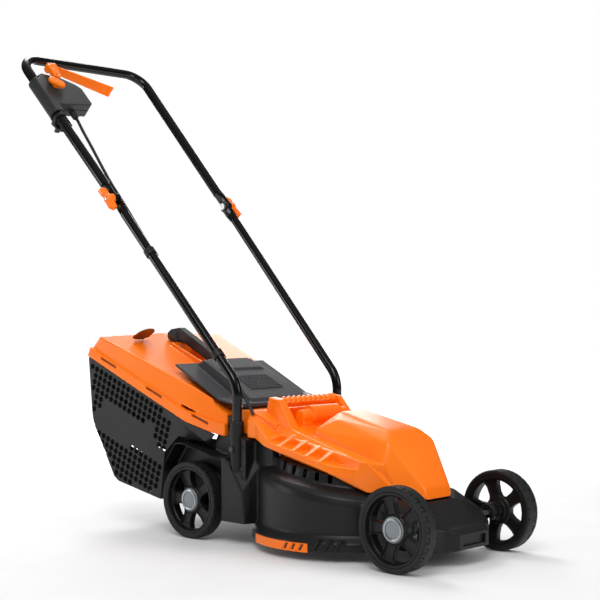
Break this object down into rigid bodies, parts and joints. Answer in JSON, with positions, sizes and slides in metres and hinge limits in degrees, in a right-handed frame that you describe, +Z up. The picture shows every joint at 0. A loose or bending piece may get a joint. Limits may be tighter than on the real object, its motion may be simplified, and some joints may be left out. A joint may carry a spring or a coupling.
{
  "type": "electric push lawn mower",
  "caption": "Corded rotary push lawn mower with a moulded deck and hood, folding tube handle with switch box, lift-off grass box under a sprung flap, and rolling wheels.",
  "frame": {"origin": "middle of the bounding box's base, on the ground", "axes": "+Z up, +Y from the front wheels towards the handle, +X towards the mower's left"},
  "size_m": [0.3556, 1.0773, 0.95],
  "materials": {
    "deck_plastic": "black moulded plastic, fine grain",
    "hood_plastic": "glossy orange moulded plastic",
    "flap_plastic": "dark grey moulded plastic",
    "basket_plastic": "dark moulded plastic",
    "tube_paint": "glossy black powder coat",
    "zinc_steel": "zinc plated",
    "blade_steel": "dark painted steel, ground edges",
    "tyre_rubber": "matt moulded tread",
    "cap_plastic": "satin grey with a bright ring",
    "cable_jacket": "black jacket"
  },
  "bodies": {
    "chassis": {"deck_housing": "deck_plastic", "motor_hood": "hood_plastic", "flap_hinge_rod": "zinc_steel", "flap_spring": "zinc_steel", "motor_can": "zinc_steel", "motor_cable": "cable_jacket", "cable_clip_lower": "deck_plastic", "cable_clip_upper": "deck_plastic", "skirt_accent_left": "hood_plastic", "skirt_accent_right": "hood_plastic", "handle_socket_left": "deck_plastic", "handle_socket_right": "deck_plastic", "socket_screw_left": "zinc_steel", "socket_screw_right": "zinc_steel", "lower_handle_left": "tube_paint", "lower_handle_right": "tube_paint", "fold_bolt_left": "zinc_steel", "fold_bolt_right": "zinc_steel", "hood_screw_left_1": "zinc_steel", "hood_screw_left_2": "zinc_steel", "hood_screw_right_1": "zinc_steel", "hood_screw_right_2": "zinc_steel"},
    "handle": {"upper_handle": "tube_paint", "switch_box_cover": "basket_plastic", "switch_box_base": "basket_plastic", "lever_pin": "zinc_steel", "cable_gland": "deck_plastic", "power_inlet": "deck_plastic", "micro_switch": "flap_plastic", "cable_hook": "deck_plastic"},
    "wing_nut_left": {"wing_nut_left": "hood_plastic"},
    "wing_nut_right": {"wing_nut_right": "hood_plastic"},
    "lever": {"switch_lever": "hood_plastic"},
    "button": {"lock_button": "hood_plastic"},
    "flap": {"rear_flap": "flap_plastic"},
    "grass_box": {"box_lid": "hood_plastic", "box_basket": "basket_plastic", "box_handle": "basket_plastic"},
    "indicator": {"box_indicator": "hood_plastic"},
    "front_axle": {"front_axle": "zinc_steel"},
    "rear_axle": {"rear_axle": "zinc_steel"},
    "rotor": {"motor_shaft": "zinc_steel", "blade_carrier": "deck_plastic", "cutting_blade": "blade_steel", "blade_bolt": "zinc_steel"},
    "front_wheel_left": {"front_wheel_left_rim": "deck_plastic", "front_wheel_left_tyre": "tyre_rubber", "front_wheel_left_hub_cap": "cap_plastic"},
    "front_wheel_right": {"front_wheel_right_rim": "deck_plastic", "front_wheel_right_tyre": "tyre_rubber", "front_wheel_right_hub_cap": "cap_plastic"},
    "rear_wheel_left": {"rear_wheel_left_rim": "deck_plastic", "rear_wheel_left_tyre": "tyre_rubber", "rear_wheel_left_hub_cap": "cap_plastic"},
    "rear_wheel_right": {"rear_wheel_right_rim": "deck_plastic", "rear_wheel_right_tyre": "tyre_rubber", "rear_wheel_right_hub_cap": "cap_plastic"}
  },
  "joints": [
    {"name": "handle_fold", "type": "hinge", "parent": "chassis", "child": "handle", "pos_m": [0, 0.231, 0.632], "axis": [1, 0, 0], "range_deg": [0, 110], "deforming": ["motor_cable"]},
    {"name": "wing_nut_turn_left", "type": "hinge", "parent": "handle", "child": "wing_nut_left", "pos_m": [0.163, 0.231, 0.632], "axis": [1, 0, 0], "continuous": true},
    {"name": "wing_nut_turn_right", "type": "hinge", "parent": "handle", "child": "wing_nut_right", "pos_m": [-0.163, 0.231, 0.632], "axis": [1, 0, 0], "continuous": true},
    {"name": "lever_squeeze", "type": "hinge", "parent": "handle", "child": "lever", "pos_m": [-0.1166, 0.4595, 0.9065], "axis": [0, -0.7199, 0.6941], "range_deg": [0, 18], "stiffness_Nm_per_rad": 0.8, "springref_deg": -11.46},
    {"name": "button_press", "type": "slide", "parent": "handle", "child": "button", "axis": [0, 0.7199, -0.6941], "range_m": [0, 0.0038], "stiffness_N_per_m": 400, "springref_m": -0.002},
    {"name": "flap_lift", "type": "hinge", "parent": "chassis", "child": "flap", "pos_m": [0, -0.088, 0.245], "axis": [1, 0, 0], "range_deg": [0, 75], "stiffness_Nm_per_rad": 0.15, "springref_deg": -17.19},
    {"name": "grass_box_out", "type": "slide", "parent": "chassis", "child": "grass_box", "axis": [0, 1, 0], "range_m": [0, 0.3]},
    {"name": "indicator_drop", "type": "hinge", "parent": "grass_box", "child": "indicator", "pos_m": [-0.082, 0.236, 0.3605], "axis": [1, 0, 0], "range_deg": [0, 44]},
    {"name": "front_height", "type": "slide", "parent": "chassis", "child": "front_axle", "axis": [0, 0, -1], "range_m": [0, 0.024]},
    {"name": "rear_height", "type": "slide", "parent": "chassis", "child": "rear_axle", "axis": [0, 0, -1], "range_m": [0, 0.024]},
    {"name": "rotor_spin", "type": "hinge", "parent": "chassis", "child": "rotor", "pos_m": [0, -0.249, 0.06], "axis": [0, 0, 1], "continuous": true},
    {"name": "front_wheel_left_roll", "type": "hinge", "parent": "front_axle", "child": "front_wheel_left", "pos_m": [0.1415, -0.469, 0.07], "axis": [1, 0, 0], "continuous": true},
    {"name": "front_wheel_right_roll", "type": "hinge", "parent": "front_axle", "child": "front_wheel_right", "pos_m": [-0.1415, -0.469, 0.07], "axis": [1, 0, 0], "continuous": true},
    {"name": "rear_wheel_left_roll", "type": "hinge", "parent": "rear_axle", "child": "rear_wheel_left", "pos_m": [0.1415, 0.0126, 0.07], "axis": [1, 0, 0], "continuous": true},
    {"name": "rear_wheel_right_roll", "type": "hinge", "parent": "rear_axle", "child": "rear_wheel_right", "pos_m": [-0.1415, 0.0126, 0.07], "axis": [1, 0, 0], "continuous": true}
  ]
}
